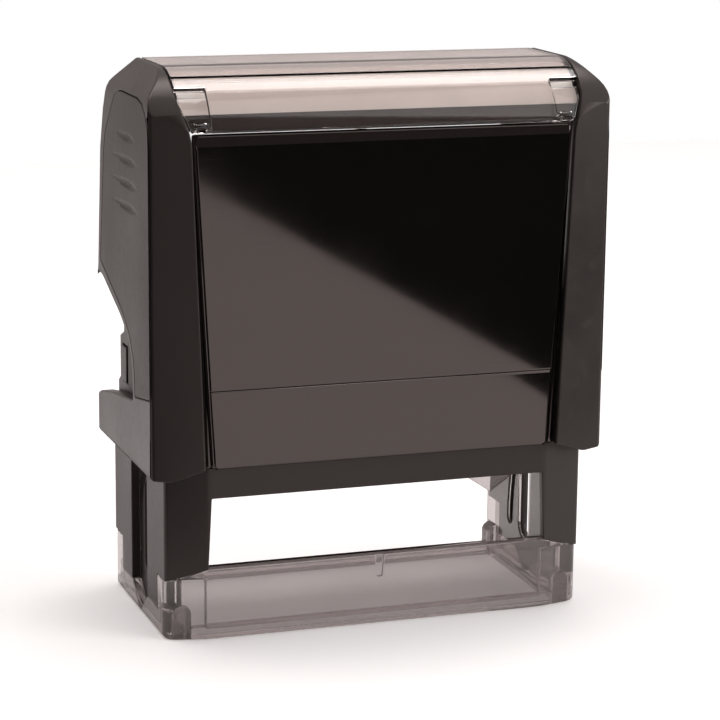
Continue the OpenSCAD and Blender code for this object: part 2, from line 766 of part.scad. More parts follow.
// Rubber with a plain frame and rules in relief.
module rubber_die() {
    z = axle_z + face_h;
    edge = 1.2;
    color([0.75, 0.32, 0.28]) {
        box(-rubber_hx, rubber_hx, -rubber_hy, rubber_hy, z - rubber_t, z - relief_t);
        difference() {
            box(-rubber_hx, rubber_hx, -rubber_hy, rubber_hy, z - relief_t - EPS, z);
            box(-rubber_hx + edge, rubber_hx - edge, -rubber_hy + edge, rubber_hy - edge,
                z - relief_t - 1, z + 1);
        }
        for (i = [-1:1])
            box(-rubber_hx * 0.7, rubber_hx * 0.7, i * 5.2 - 0.6, i * 5.2 + 0.6, z - relief_t - EPS, z);
    }
}

module ink_cartridge() {
    z0 = pad_z + 0.8;
    pocket_z = pad_z + pad_t + 0.1;
    color([0.12, 0.12, 0.13])
    difference() {
        union() {
            box(-tray_hx, tray_hx, -tray_hy, tray_hy, z0, cartridge_top);
            box(-tray_flange_hx, tray_flange_hx, -tray_hy, tray_hy, tray_flange_z, cartridge_top);
            // Pull lip along the rear.
            box(-14, 14, tray_hy - EPS, tray_hy + 1.1, z0 + 1, cartridge_top - 1);
        }
        box(-plate_hx - 0.1, plate_hx + 0.1, -pad_hy - 0.1, pad_hy + 0.1, z0 - 1, pocket_z);
        // Recess in the back, crossed by ribs.
        for (i = [-1.5:1.5]) let (x = i * plate_hx / 2)
            box(x - plate_hx / 4 + 0.7, x + plate_hx / 4 - 0.7, -tray_hy + 1.6, tray_hy - 1.6,
                pocket_z + 1.4, cartridge_top + 1);
    }
}

module ink_pad() {
    color([0.12, 0.13, 0.28])
        box(-plate_hx, plate_hx, -pad_hy, pad_hy, pad_z, pad_z + pad_t);
}

module lock_button() {
    color([0.1, 0.1, 0.1]) {
        box(slot_x - 0.1 - EPS, frame_hx + 0.3, lock_y - lock_w / 2, lock_y + lock_w / 2,
            lock_z - lock_h / 2, lock_z + lock_h / 2);
        box(slot_x - 0.1 - lock_flange_t, slot_x - 0.1, lock_y - lock_w / 2 - lock_lip + lock_gap,
            lock_y + lock_w / 2 + lock_lip - lock_gap, lock_z - lock_h / 2 - lock_lip + lock_gap,
            lock_z + lock_h / 2 + lock_lip - lock_gap);
    }
}

module lock_button_left() { mirror([1, 0, 0]) lock_button(); }
module lock_button_right() { lock_button(); }

// Wire swept along a helix, with flat-lying ends.
module return_spring() {
    sides = 8;
    per_turn = 14;
    lift = roof_in_z - deck_top - wire_d - 0.1;
    last = coil_turns * per_turn;
    function helix(i) = let (a = 360 * i / per_turn, t = i / last)
        [coil_d / 2 * cos(a), coil_d / 2 * sin(a), deck_top + wire_d / 2 + 0.05 + lift * t];
    function ring(i) = let (c = helix(i), a = 360 * i / per_turn)
        [for (k = [0:sides - 1]) let (b = 360 * k / sides)
            c + wire_d / 2 * [cos(a) * cos(b), sin(a) * cos(b), sin(b)]];
    points = [for (i = [0:last]) each ring(i)];
    tube = [for (i = [0:last - 1], k = [0:sides - 1]) let (n = (k + 1) % sides)
            each [[i * sides + k, i * sides + n, (i + 1) * sides + n],
                  [i * sides + k, (i + 1) * sides + n, (i + 1) * sides + k]]];
    caps = [[for (k = [sides - 1:-1:0]) k], [for (k = [0:sides - 1]) last * sides + k]];
    color([0.7, 0.7, 0.7]) polyhedron(points, concat(tube, caps), convexity = 10);
}

frame_body();
frame_deck();
clear_base();
base_pad_front_left();
base_pad_front_right();
base_pad_rear_left();
base_pad_rear_right();
left_cheek();
right_cheek();
left_grip();
right_grip();
front_panel();
rear_panel();
rear_band();
cap_bridge();
drive_arm_left();
drive_arm_right();
index_card();
index_window();
die_carrier();
axle();
text_plate();
rubber_die();
ink_cartridge();
ink_pad();
lock_button_left();
lock_button_right();
return_spring();
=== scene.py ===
"""Visual model of a self-inking text stamp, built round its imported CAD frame.

The printing unit hangs between two arms of the cap and turns over as the cap is pressed. Each
sub-assembly is a class that takes over its CAD nodes with eased edges and dresses them.
"""

import json
import logging
import math
from dataclasses import dataclass, field
from enum import Enum

import bpy
from mathutils import Matrix, Vector

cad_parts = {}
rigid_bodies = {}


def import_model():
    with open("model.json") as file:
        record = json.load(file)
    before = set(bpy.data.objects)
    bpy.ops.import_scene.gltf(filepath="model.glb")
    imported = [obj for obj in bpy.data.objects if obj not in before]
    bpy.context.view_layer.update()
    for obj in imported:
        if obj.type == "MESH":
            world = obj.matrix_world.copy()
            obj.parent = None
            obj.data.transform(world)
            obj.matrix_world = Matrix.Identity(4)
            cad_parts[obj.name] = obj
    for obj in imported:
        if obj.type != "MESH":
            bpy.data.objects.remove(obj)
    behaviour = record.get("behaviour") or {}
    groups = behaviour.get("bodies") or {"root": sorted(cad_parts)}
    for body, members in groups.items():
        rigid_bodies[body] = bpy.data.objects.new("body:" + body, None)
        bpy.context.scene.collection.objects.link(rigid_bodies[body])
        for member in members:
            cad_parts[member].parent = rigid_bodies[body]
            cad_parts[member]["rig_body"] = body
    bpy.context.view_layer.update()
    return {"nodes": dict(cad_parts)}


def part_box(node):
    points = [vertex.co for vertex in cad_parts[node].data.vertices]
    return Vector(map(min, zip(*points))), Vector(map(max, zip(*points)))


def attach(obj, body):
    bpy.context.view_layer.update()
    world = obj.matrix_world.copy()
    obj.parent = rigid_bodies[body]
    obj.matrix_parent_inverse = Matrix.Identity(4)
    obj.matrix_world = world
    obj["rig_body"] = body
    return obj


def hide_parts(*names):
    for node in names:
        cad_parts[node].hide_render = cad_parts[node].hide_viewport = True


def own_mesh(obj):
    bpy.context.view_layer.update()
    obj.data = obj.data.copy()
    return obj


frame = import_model()

MM = 0.001
WELD = 0.01 * MM  # a distance shorter than this counts as none
LOG = logging.getLogger("stamp")
Colour = tuple[float, float, float]
Point = tuple[float, float, float]
WARM_GLOSS = (1.0, 0.85, 0.81, 1.0)


class Side(Enum):
    """The two mirrored sides of the stamp."""

    LEFT = -1
    RIGHT = 1


class Rim(Enum):
    """How far an outer edge is eased."""

    CRISP = 0.09 * MM
    EASED = 0.18 * MM
    SOFT = 0.3 * MM
    ROUND = 0.42 * MM


# ---------------------------------------------------------------------------------------------
# Finishes


class Board:
    """A material's node tree, with short calls to place and wire its nodes."""

    def __init__(self, name: str) -> None:
        """Starts a material that holds only its output and its object coordinates.

        Args:
            name: name of the material.
        """
        self.material = bpy.data.materials.new(name)
        self.material.use_nodes = True
        self.tree = self.material.node_tree
        self.tree.nodes.clear()
        self.out = self.tree.nodes.new("ShaderNodeOutputMaterial")
        self.place = self.tree.nodes.new("ShaderNodeTexCoord").outputs["Object"]

    def node(self, kind: str, **settings: object) -> bpy.types.Node:
        """Adds a node and sets its properties.

        Args:
            kind: node type without the ShaderNode prefix.
            **settings: node properties by name.

        Returns:
            The new node.
        """
        made = self.tree.nodes.new("ShaderNode" + kind)
        for key, value in settings.items():
            setattr(made, key, value)
        return made

    def feed(self, socket: bpy.types.NodeSocket, value: object) -> None:
        """Links an output into the socket, or sets the socket when value isn't an output."""
        if isinstance(value, bpy.types.NodeSocket):
            self.tree.links.new(value, socket)
        else:
            socket.default_value = value

    def noise(self, size: float, detail: float = 2.0, stretch: Point = (1, 1, 1),
              rough: float = 0.5) -> bpy.types.NodeSocket:
        """Noise whose grains are about size metres across.

        Args:
            size: width of a grain, in metres.
            detail: octaves below it.
            stretch: how much finer the noise is along each axis.
            rough: weight of the finer octaves.

        Returns:
            The noise value, from 0 to 1.
        """
        turned = self.node("Mapping")
        self.feed(turned.inputs["Vector"], self.place)
        turned.inputs["Scale"].default_value = stretch
        grain = self.node("TexNoise")
        self.feed(grain.inputs["Vector"], turned.outputs[0])
        grain.inputs["Scale"].default_value = 1 / size
        grain.inputs["Detail"].default_value = detail
        grain.inputs["Roughness"].default_value = rough
        return grain.outputs["Fac"]

    def ranged(self, value: bpy.types.NodeSocket, low: float, high: float,
               out_low: float, out_high: float) -> bpy.types.NodeSocket:
        """Maps value from low..high to out_low..out_high, clamped."""
        ranger = self.node("MapRange")
        for key, given in zip(("Value", "From Min", "From Max", "To Min", "To Max"),
                              (value, low, high, out_low, out_high)):
            self.feed(ranger.inputs[key], given)
        return ranger.outputs[0]

    def sum_of(self, a: bpy.types.NodeSocket, b: object,
               operation: str = "ADD") -> bpy.types.NodeSocket:
        """Result of a math operation on two values."""
        math_node = self.node("Math", operation=operation)
        self.feed(math_node.inputs[0], a)
        self.feed(math_node.inputs[1], b)
        return math_node.outputs[0]

    def blend(self, share: bpy.types.NodeSocket, a: object, b: object) -> bpy.types.NodeSocket:
        """Colour between a and b.

        Args:
            share: how much of b shows, from 0 to 1.
            a: colour or colour output at share 0.
            b: colour or colour output at share 1.

        Returns:
            The blended colour.
        """
        mixer = self.node("Mix", data_type="RGBA")
        self.feed(mixer.inputs["Factor"], share)
        for socket, value in ((mixer.inputs[6], a), (mixer.inputs[7], b)):
            self.feed(socket, (*value, 1.0) if isinstance(value, tuple) else value)
        return mixer.outputs[2]

    def bump(self, height: bpy.types.NodeSocket, depth: float, strength: float = 1.0,
             below: bpy.types.NodeSocket | None = None) -> bpy.types.NodeSocket:
        """Normal that follows a height of depth metres, on top of another bump if one is given."""
        made = self.node("Bump")
        made.inputs["Strength"].default_value = strength
        made.inputs["Distance"].default_value = depth
        self.feed(made.inputs["Height"], height)
        if below is not None:
            self.feed(made.inputs["Normal"], below)
        return made.outputs[0]

    def along(self, axis: str) -> bpy.types.NodeSocket:
        """The object coordinate along X, Y or Z."""
        split = self.node("SeparateXYZ")
        self.feed(split.inputs[0], self.place)
        return split.outputs[axis]


def darker(colour: Colour, share: float) -> Colour:
    """The colour scaled by share."""
    return tuple(c * share for c in colour)


@dataclass(frozen=True)
class MouldedPlastic:
    """Opaque moulded plastic with a spark-eroded grain and soft handling marks.

    The grain is a fine bump, the flow of the melt shows as slow changes of gloss, and long faint
    scuffs run across it.
    """

    name: str
    colour: Colour
    roughness: float
    grain: float = 0.32 * MM
    grain_depth: float = 0.012 * MM
    mottle: float = 0.12
    scuffs: float = 0.06

    def material(self) -> bpy.types.Material:
        """Builds the material."""
        board = Board(self.name)
        skin = board.node("BsdfPrincipled")
        grain = board.noise(self.grain, 2.5, rough=0.6)
        fine = board.noise(self.grain * 0.35, 1.5)
        flow = board.noise(14 * MM, 3.0)
        dust = board.noise(1.1 * MM, 4.0, rough=0.65)
        scuff = board.noise(2.4 * MM, 3.0, stretch=(0.35, 4.0, 1.0))
        shade = board.sum_of(board.ranged(flow, 0.3, 0.7, 0.0, 0.6),
                             board.ranged(dust, 0.45, 0.8, 0.0, 0.4))
        board.feed(skin.inputs["Base Color"],
                   board.blend(shade, darker(self.colour, 1 - self.mottle),
                               darker(self.colour, 1 + self.mottle)))
        gloss = board.sum_of(board.ranged(flow, 0.3, 0.7, self.roughness - 0.03,
                                          self.roughness + 0.03),
                             board.ranged(scuff, 0.56, 0.74, 0.0, self.scuffs))
        gloss = board.sum_of(gloss, board.ranged(grain, 0.3, 0.7, -0.02, 0.02))
        board.feed(skin.inputs["Roughness"], gloss)
        normal = board.bump(fine, self.grain_depth * 0.4, 0.5)
        board.feed(skin.inputs["Normal"], board.bump(grain, self.grain_depth, 0.7, normal))
        skin.inputs["Specular Tint"].default_value = WARM_GLOSS
        board.feed(board.out.inputs["Surface"], skin.outputs[0])
        return board.material


@dataclass(frozen=True)
class PolishedPlastic:
    """High-gloss moulded face with a faint ripple and hairline cleaning marks."""

    name: str
    colour: Colour
    roughness: float
    ripple: float = 0.010 * MM
    hairlines: float = 0.05
    mirror: float = 0.95

    def material(self) -> bpy.types.Material:
        """Builds the material."""
        board = Board(self.name)
        skin = board.node("BsdfPrincipled")
        ripple = board.noise(9 * MM, 1.0)
        haze = board.noise(22 * MM, 4.0, rough=0.6)
        hair = board.noise(1.6 * MM, 2.0, stretch=(0.12, 1.0, 6.0))
        cross = board.noise(1.9 * MM, 2.0, stretch=(5.0, 1.0, 0.15))
        specks = board.noise(0.25 * MM, 1.0)
        board.feed(skin.inputs["Base Color"],
                   board.blend(board.ranged(haze, 0.35, 0.75, 0.0, 1.0), self.colour,
                               darker(self.colour, 1.35)))
        marks = board.sum_of(board.ranged(hair, 0.64, 0.78, 0.0, self.hairlines),
                             board.ranged(cross, 0.66, 0.8, 0.0, self.hairlines * 0.7))
        marks = board.sum_of(marks, board.ranged(specks, 0.74, 0.8, 0.0, 0.08))
        rough = board.sum_of(board.ranged(haze, 0.3, 0.7, self.roughness * 0.8,
                                          self.roughness * 1.3), marks)
        board.feed(skin.inputs["Roughness"], rough)
        board.feed(skin.inputs["Normal"], board.bump(ripple, self.ripple, 0.25))
        skin.inputs["IOR"].default_value = 1.54
        skin.inputs["Specular IOR Level"].default_value = self.mirror
        skin.inputs["Specular Tint"].default_value = WARM_GLOSS
        board.feed(board.out.inputs["Surface"], skin.outputs[0])
        return board.material


@dataclass(frozen=True)
class SmokePlastic:
    """Clear smoke-tinted plastic, a little milky, that lets the studio's lamps through."""

    name: str
    tint: Colour
    lamp_tint: Colour
    roughness: float = 0.03
    milk: float = 0.0
    milk_colour: Colour = (0.33, 0.295, 0.29)

    def material(self) -> bpy.types.Material:
        """Builds the material."""
        board = Board(self.name)
        glass = board.node("BsdfPrincipled")
        glass.inputs["Transmission Weight"].default_value = 1.0
        glass.inputs["IOR"].default_value = 1.49
        flow = board.noise(11 * MM, 2.0)
        swirl = board.noise(3.2 * MM, 2.0)
        hair = board.noise(1.3 * MM, 2.0, stretch=(0.15, 0.4, 5.0))
        board.feed(glass.inputs["Base Color"],
                   board.blend(board.ranged(flow, 0.35, 0.65, 0.0, 1.0),
                               darker(self.tint, 0.975), self.tint))
        rough = board.sum_of(board.ranged(swirl, 0.35, 0.7, self.roughness * 0.6,
                                          self.roughness * 1.6),
                             board.ranged(hair, 0.64, 0.8, 0.0, 0.07))
        board.feed(glass.inputs["Roughness"], rough)
        board.feed(glass.inputs["Normal"], board.bump(flow, 0.02 * MM, 0.2))
        cloud = board.node("BsdfDiffuse")
        cloud.inputs["Color"].default_value = (*self.milk_colour, 1.0)
        body = board.node("MixShader")
        body.inputs[0].default_value = self.milk
        board.feed(body.inputs[1], glass.outputs[0])
        board.feed(body.inputs[2], cloud.outputs[0])
        lamp = board.node("BsdfTransparent")
        lamp.inputs["Color"].default_value = (*self.lamp_tint, 1.0)
        path = board.node("LightPath")
        either = board.node("MixShader")
        board.feed(either.inputs[0], path.outputs["Is Shadow Ray"])
        board.feed(either.inputs[1], body.outputs[0])
        board.feed(either.inputs[2], lamp.outputs[0])
        board.feed(board.out.inputs["Surface"], either.outputs[0])
        return board.material


@dataclass(frozen=True)
class DrawnSteel:
    """Bright steel with the fine lines of its drawing or turning."""

    name: str
    colour: Colour
    roughness: float
    lines: Point = (1.0, 40.0, 40.0)

    def material(self) -> bpy.types.Material:
        """Builds the material."""
        board = Board(self.name)
        skin = board.node("BsdfPrincipled")
        skin.inputs["Metallic"].default_value = 1.0
        lines = board.noise(4 * MM, 2.0, stretch=self.lines)
        oil = board.noise(5 * MM, 3.0)
        board.feed(skin.inputs["Base Color"],
                   board.blend(board.ranged(oil, 0.4, 0.75, 0.0, 1.0), self.colour,
                               darker(self.colour, 0.72)))
        board.feed(skin.inputs["Roughness"],
                   board.sum_of(board.ranged(lines, 0.3, 0.7, self.roughness - 0.07,
                                             self.roughness + 0.09),
                                board.ranged(oil, 0.4, 0.8, 0.0, 0.12)))
        board.feed(skin.inputs["Normal"], board.bump(lines, 0.006 * MM, 0.5))
        board.feed(board.out.inputs["Surface"], skin.outputs[0])
        return board.material


@dataclass(frozen=True)
class InkedFace:
    """A matt body colour under ink that has wetted the parts beyond a level along Z."""

    name: str
    colour: Colour
    ink: Colour
    level: float
    fade: float
    roughness: float = 0.62
    wet: float = 0.28
    grain: float = 0.18 * MM
    grain_depth: float = 0.02 * MM

    def material(self) -> bpy.types.Material:
        """Builds the material."""
        board = Board(self.name)
        skin = board.node("BsdfPrincipled")
        grain = board.noise(self.grain, 3.0, rough=0.6)
        spread = board.noise(2.6 * MM, 4.0, rough=0.62)
        height = board.along("Z")
        edge = board.sum_of(height, board.ranged(spread, 0.3, 0.7, -self.fade, self.fade))
        inked = board.ranged(edge, self.level - self.fade, self.level + self.fade, 0.0, 1.0)
        body = board.blend(board.ranged(grain, 0.3, 0.7, 0.0, 1.0), darker(self.colour, 0.86),
                           darker(self.colour, 1.1))
        board.feed(skin.inputs["Base Color"], board.blend(inked, body, self.ink))
        board.feed(skin.inputs["Roughness"],
                   board.sum_of(board.ranged(inked, 0.0, 1.0, self.roughness, self.wet),
                                board.ranged(grain, 0.3, 0.7, -0.05, 0.06)))
        board.feed(skin.inputs["Normal"], board.bump(grain, self.grain_depth, 0.6))
        board.feed(board.out.inputs["Surface"], skin.outputs[0])
        return board.material


@dataclass(frozen=True)
class InkFelt:
    """Felt soaked with ink: matted fibres, smoother and rougher in patches where the soak varies.
    """

    name: str
    colour: Colour
    fibre: float = 0.22 * MM

    def material(self) -> bpy.types.Material:
        """Builds the material."""
        board = Board(self.name)
        skin = board.node("BsdfPrincipled")
        mat = board.noise(self.fibre, 5.0, stretch=(1.0, 2.2, 1.0), rough=0.7)
        cross = board.noise(self.fibre * 1.3, 5.0, stretch=(2.4, 1.0, 1.0), rough=0.7)
        soak = board.noise(7 * MM, 4.0)
        board.feed(skin.inputs["Base Color"],
                   board.blend(board.ranged(soak, 0.35, 0.7, 0.0, 1.0),
                               darker(self.colour, 0.6), darker(self.colour, 1.4)))
        board.feed(skin.inputs["Roughness"], board.ranged(soak, 0.3, 0.7, 0.55, 0.92))
        skin.inputs["Sheen Weight"].default_value = 0.25
        skin.inputs["Sheen Roughness"].default_value = 0.5
        both = board.sum_of(mat, cross)
        board.feed(skin.inputs["Normal"], board.bump(both, 0.09 * MM, 0.8))
        board.feed(board.out.inputs["Surface"], skin.outputs[0])
        return board.material


@dataclass(frozen=True)
class CardStock:
    """Uncoated card with visible fibres and a cloudy tone."""

    name: str
    colour: Colour

    def material(self) -> bpy.types.Material:
        """Builds the material."""
        board = Board(self.name)
        skin = board.node("BsdfPrincipled")
        fibre = board.noise(0.35 * MM, 5.0, stretch=(1.0, 3.0, 2.0), rough=0.7)
        cloud = board.noise(6 * MM, 3.0)
        tone = board.blend(board.ranged(cloud, 0.35, 0.7, 0.0, 1.0), darker(self.colour, 0.95),
                           self.colour)
        board.feed(skin.inputs["Base Color"],
                   board.blend(board.ranged(fibre, 0.55, 0.75, 0.0, 0.5), tone,
                               darker(self.colour, 0.85)))
        board.feed(skin.inputs["Roughness"], board.ranged(fibre, 0.3, 0.7, 0.72, 0.9))
        board.feed(skin.inputs["Normal"], board.bump(fibre, 0.015 * MM, 0.6))
        board.feed(board.out.inputs["Surface"], skin.outputs[0])
        return board.material


@dataclass(frozen=True)
class Palette:
    """Every finish of the stamp, each made once."""

    housing: bpy.types.Material
    cap: bpy.types.Material
    grip: bpy.types.Material
    panel: bpy.types.Material
    inner: bpy.types.Material
    button: bpy.types.Material
    base: bpy.types.Material
    window: bpy.types.Material
    pads: bpy.types.Material
    axle: bpy.types.Material
    spring: bpy.types.Material
    carrier: bpy.types.Material
    backing: bpy.types.Material
    rubber: bpy.types.Material
    felt: bpy.types.Material
    card: bpy.types.Material

    @classmethod
    def mixed(cls, die_top: float) -> "Palette":
        """Makes the finishes.

        Args:
            die_top: level of the rubber's printing face at rest, in metres.

        Returns:
            The palette.
        """
        warm = (0.0125, 0.0112, 0.0105)
        return cls(
            housing=MouldedPlastic("housing_black", warm, 0.40).material(),
            cap=MouldedPlastic("cap_black", darker(warm, 1.05), 0.36,
                               grain_depth=0.008 * MM).material(),
            grip=MouldedPlastic("grip_black", darker(warm, 1.25), 0.46, grain=0.4 * MM,
                                grain_depth=0.02 * MM).material(),
            panel=PolishedPlastic("panel_piano_black", (0.0032, 0.0028, 0.0026), 0.05).material(),
            inner=MouldedPlastic("inner_black", darker(warm, 1.2), 0.5).material(),
            button=MouldedPlastic("button_black", darker(warm, 1.6), 0.42,
                                  grain=0.2 * MM).material(),
            base=SmokePlastic("smoke_base", (0.62, 0.572, 0.567), (0.5, 0.455, 0.45),
                              milk=0.1, milk_colour=(0.45, 0.40, 0.39)).material(),
            window=SmokePlastic("smoke_window", (0.83, 0.785, 0.77),
                                (0.66, 0.61, 0.60)).material(),
            pads=SmokePlastic("pad_rubber", (0.50, 0.46, 0.455), (0.4, 0.36, 0.355),
                              roughness=0.22, milk=0.2).material(),
            axle=DrawnSteel("axle_steel", (0.62, 0.61, 0.59), 0.26).material(),
            spring=DrawnSteel("spring_steel", (0.55, 0.54, 0.53), 0.22,
                              (6.0, 6.0, 30.0)).material(),
            carrier=MouldedPlastic("carrier_black", darker(warm, 1.35), 0.5,
                                   grain=0.28 * MM).material(),
            backing=MouldedPlastic("plate_ivory", (0.62, 0.58, 0.49), 0.48,
                                   mottle=0.05).material(),
            rubber=InkedFace("die_rubber", (0.40, 0.115, 0.08), (0.012, 0.012, 0.03),
                             die_top - 0.35 * MM, 0.16 * MM).material(),
            felt=InkFelt("ink_felt", (0.012, 0.012, 0.032)).material(),
            card=CardStock("index_card_stock", (0.74, 0.72, 0.69)).material(),
        )


# ---------------------------------------------------------------------------------------------
# Shaping


def pick(*objects: bpy.types.Object) -> None:
    """Selects only these objects and makes the first one active."""
    bpy.ops.object.select_all(action="DESELECT")
    for obj in objects:
        obj.select_set(True)
    bpy.context.view_layer.objects.active = objects[0]


def settle(obj: bpy.types.Object) -> None:
    """Puts the object's place into its mesh, so that it sits at the origin, unturned."""
    pick(obj)
    bpy.ops.object.transform_apply(location=True, rotation=True, scale=True)


def dress(obj: bpy.types.Object, finish: bpy.types.Material) -> None:
    """Gives the whole object one finish."""
    obj.data.materials.clear()
    obj.data.materials.append(finish)


def ease_edges(obj: bpy.types.Object, width: float, steps: int = 2,
               sharper_than: float = 30.0) -> None:
    """Rounds every edge that turns sharply, then shades the piece so that flats stay flat.

    Args:
        obj: the piece.
        width: how far the rounding reaches from the edge, in metres.
        steps: facets across the rounding.
        sharper_than: angle in degrees past which an edge is rounded.
    """
    pick(obj)
    rounding = obj.modifiers.new("eased", "BEVEL")
    rounding.width = width
    rounding.segments = steps
    rounding.limit_method = "ANGLE"
    rounding.angle_limit = math.radians(sharper_than)
    rounding.use_clamp_overlap = False
    bpy.ops.object.modifier_apply(modifier=rounding.name)
    bpy.ops.object.shade_smooth_by_angle(angle=math.radians(48))
    flats = obj.modifiers.new("flats", "WEIGHTED_NORMAL")
    flats.keep_sharp = True
    bpy.ops.object.modifier_apply(modifier=flats.name)


def keep_inside(obj: bpy.types.Object, low: Vector, high: Vector) -> None:
    """Pulls any point outside the box back onto it.

    Args:
        obj: the piece.
        low: lowest corner of the box.
        high: highest corner of the box.
    """
    for vertex in obj.data.vertices:
        for axis in range(3):
            vertex.co[axis] = min(max(vertex.co[axis], low[axis]), high[axis])


def round_foot(piece: bpy.types.Object, width: float, steps: int = 4,
               outer_share: float = 0.94, wall_lean: float = 0.1) -> None:
    """Rounds the outline of the piece's flat underside.

    Args:
        piece: the piece, standing on level 0, with none of its mesh selected.
        width: how far the rounding reaches, in metres.
        steps: facets across the rounding.
        outer_share: share of the piece's reach past which an edge belongs to the outline.
        wall_lean: rise of a face's normal up to which it counts as an upright wall.
    """
    reach = [max(abs(v.co[axis]) for v in piece.data.vertices) for axis in (0, 1)]
    faces_at: dict[tuple[int, int], list] = {}
    for face in piece.data.polygons:
        for key in face.edge_keys:
            faces_at.setdefault(key, []).append(face)
    for edge in piece.data.edges:
        ends = [piece.data.vertices[i].co for i in edge.vertices]
        middle = (ends[0] + ends[1]) / 2
        outward = any(face.normal.xy.dot(middle.xy) > 0 and abs(face.normal.z) < wall_lean
                      for face in faces_at.get(edge.key, ()))
        edge.select = (max(abs(end.z) for end in ends) < WELD and outward
                       and max(abs(middle[axis]) / reach[axis] for axis in (0, 1)) > outer_share)
    for edge in piece.data.edges:
        if edge.select:
            for i in edge.vertices:
                piece.data.vertices[i].select = True
    bpy.context.tool_settings.mesh_select_mode = (False, True, False)
    bpy.ops.object.mode_set(mode="EDIT")
    bpy.ops.mesh.bevel(offset=width, segments=steps, affect="EDGES")
    bpy.ops.object.mode_set(mode="OBJECT")


def take_over(node: str, rim: Rim = Rim.EASED, foot: float = 0.0) -> bpy.types.Object:
    """A clean solid in the place of a CAD node, with its edges eased.

    Args:
        node: name of the CAD node.
        rim: how far its edges are eased.
        foot: how far the outline of its underside is rounded, in metres.

    Returns:
        The new piece, which rides on the node's body and replaces it.
    """
    source = frame["nodes"][node]
    piece = bpy.data.objects.new(node + "_piece", source.data.copy())
    bpy.context.scene.collection.objects.link(piece)
    pick(piece)
    bpy.ops.object.mode_set(mode="EDIT")
    bpy.ops.mesh.select_all(action="SELECT")
    bpy.ops.mesh.remove_doubles(threshold=WELD)
    bpy.ops.mesh.dissolve_limited(angle_limit=math.radians(1.0))
    bpy.ops.mesh.select_all(action="DESELECT")
    bpy.ops.object.mode_set(mode="OBJECT")
    if foot:
        round_foot(piece, foot)
    low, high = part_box(node)
    ease_edges(piece, rim.value)
    keep_inside(piece, low, high)
    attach(piece, source["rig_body"])
    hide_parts(node)
    return piece


@dataclass
class SubAssembly:
    """A group of CAD nodes that share a finish rule."""

    palette: Palette
    made: list[bpy.types.Object] = field(default_factory=list)

    def add(self, node: str, finish: bpy.types.Material, slot: str,
            rim: Rim = Rim.EASED, foot: float = 0.0) -> bpy.types.Object:
        """Takes over one node and dresses it.

        Args:
            node: name of the CAD node.
            finish: its material.
            slot: material slot of the record; not used.
            rim: how far its edges are eased.
            foot: how far the outline of its underside is rounded, in metres.

        Returns:
            The piece.
        """
        piece = take_over(node, rim, foot)
        dress(piece, finish)
        self.made.append(piece)
        LOG.info("%s: %d faces", piece.name, len(piece.data.polygons))
        return piece

    def keep(self, piece: bpy.types.Object, body: str, slot: str, *nodes: str) -> None:
        """Files a piece that was modelled here.

        Args:
            piece: the finished piece.
            body: CAD body that it rides on.
            slot: material slot of the record; not used.
            *nodes: CAD nodes that it stands for.
        """
        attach(piece, body)
        if nodes:
            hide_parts(*nodes)
        self.made.append(piece)
        LOG.info("%s: %d faces", piece.name, len(piece.data.polygons))


@dataclass
class Housing(SubAssembly):
    """The standing frame with its deck and lock buttons."""

    def build(self) -> None:
        """Builds and dresses the pieces."""
        self.add("frame_body", self.palette.housing, "frame_black", Rim.EASED)
        self.add("frame_deck", self.palette.inner, "frame_black", Rim.CRISP)
        for side in Side:
            self.add(f"lock_button_{side.name.lower()}", self.palette.button, "button_black")


@dataclass
class ClearFoot(SubAssembly):
    """The smoke-clear base with its corner inserts."""

    def build(self) -> None:
        """Builds and dresses the pieces."""
        self.add("clear_base", self.palette.base, "smoke_clear", foot=0.8 * MM)
        for end in ("front", "rear"):
            for side in Side:
                self.add(f"base_pad_{end}_{side.name.lower()}", self.palette.pads, "pad_rubber")


@dataclass
class Cap(SubAssembly):
    """The pressed cap: cheeks, grips, glossy front, rear pieces, bridge, arms and card."""

    def build(self) -> None:
        """Builds and dresses the pieces."""
        for side in Side:
            name = side.name.lower()
            self.add(f"{name}_cheek", self.palette.cap, "cap_black", Rim.SOFT)
            self.add(f"{name}_grip", self.palette.grip, "grip_black")
            self.add(f"drive_arm_{name}", self.palette.inner, "cap_black")
        self.add("front_panel", self.palette.panel, "panel_gloss", Rim.ROUND)
        self.add("rear_panel", self.palette.cap, "cap_black", Rim.EASED)
        self.add("rear_band", self.palette.cap, "cap_black", Rim.EASED)
        self.add("cap_bridge", self.palette.inner, "cap_black", Rim.CRISP)
        self.add("index_card", self.palette.card, "card", Rim.CRISP)
        self.add("index_window", self.palette.window, "smoke_clear", Rim.EASED)


@dataclass
class PrintingUnit(SubAssembly):
    """The carrier that turns over, with its axle, text plate and rubber."""

    def build(self) -> None:
        """Builds and dresses the pieces."""
        self.add("die_carrier", self.palette.carrier, "frame_black", Rim.CRISP)
        self.add("axle", self.palette.axle, "steel")
        self.add("text_plate", self.palette.backing, "plate_backing")
        self.add("rubber_die", self.palette.rubber, "die_rubber", Rim.CRISP)


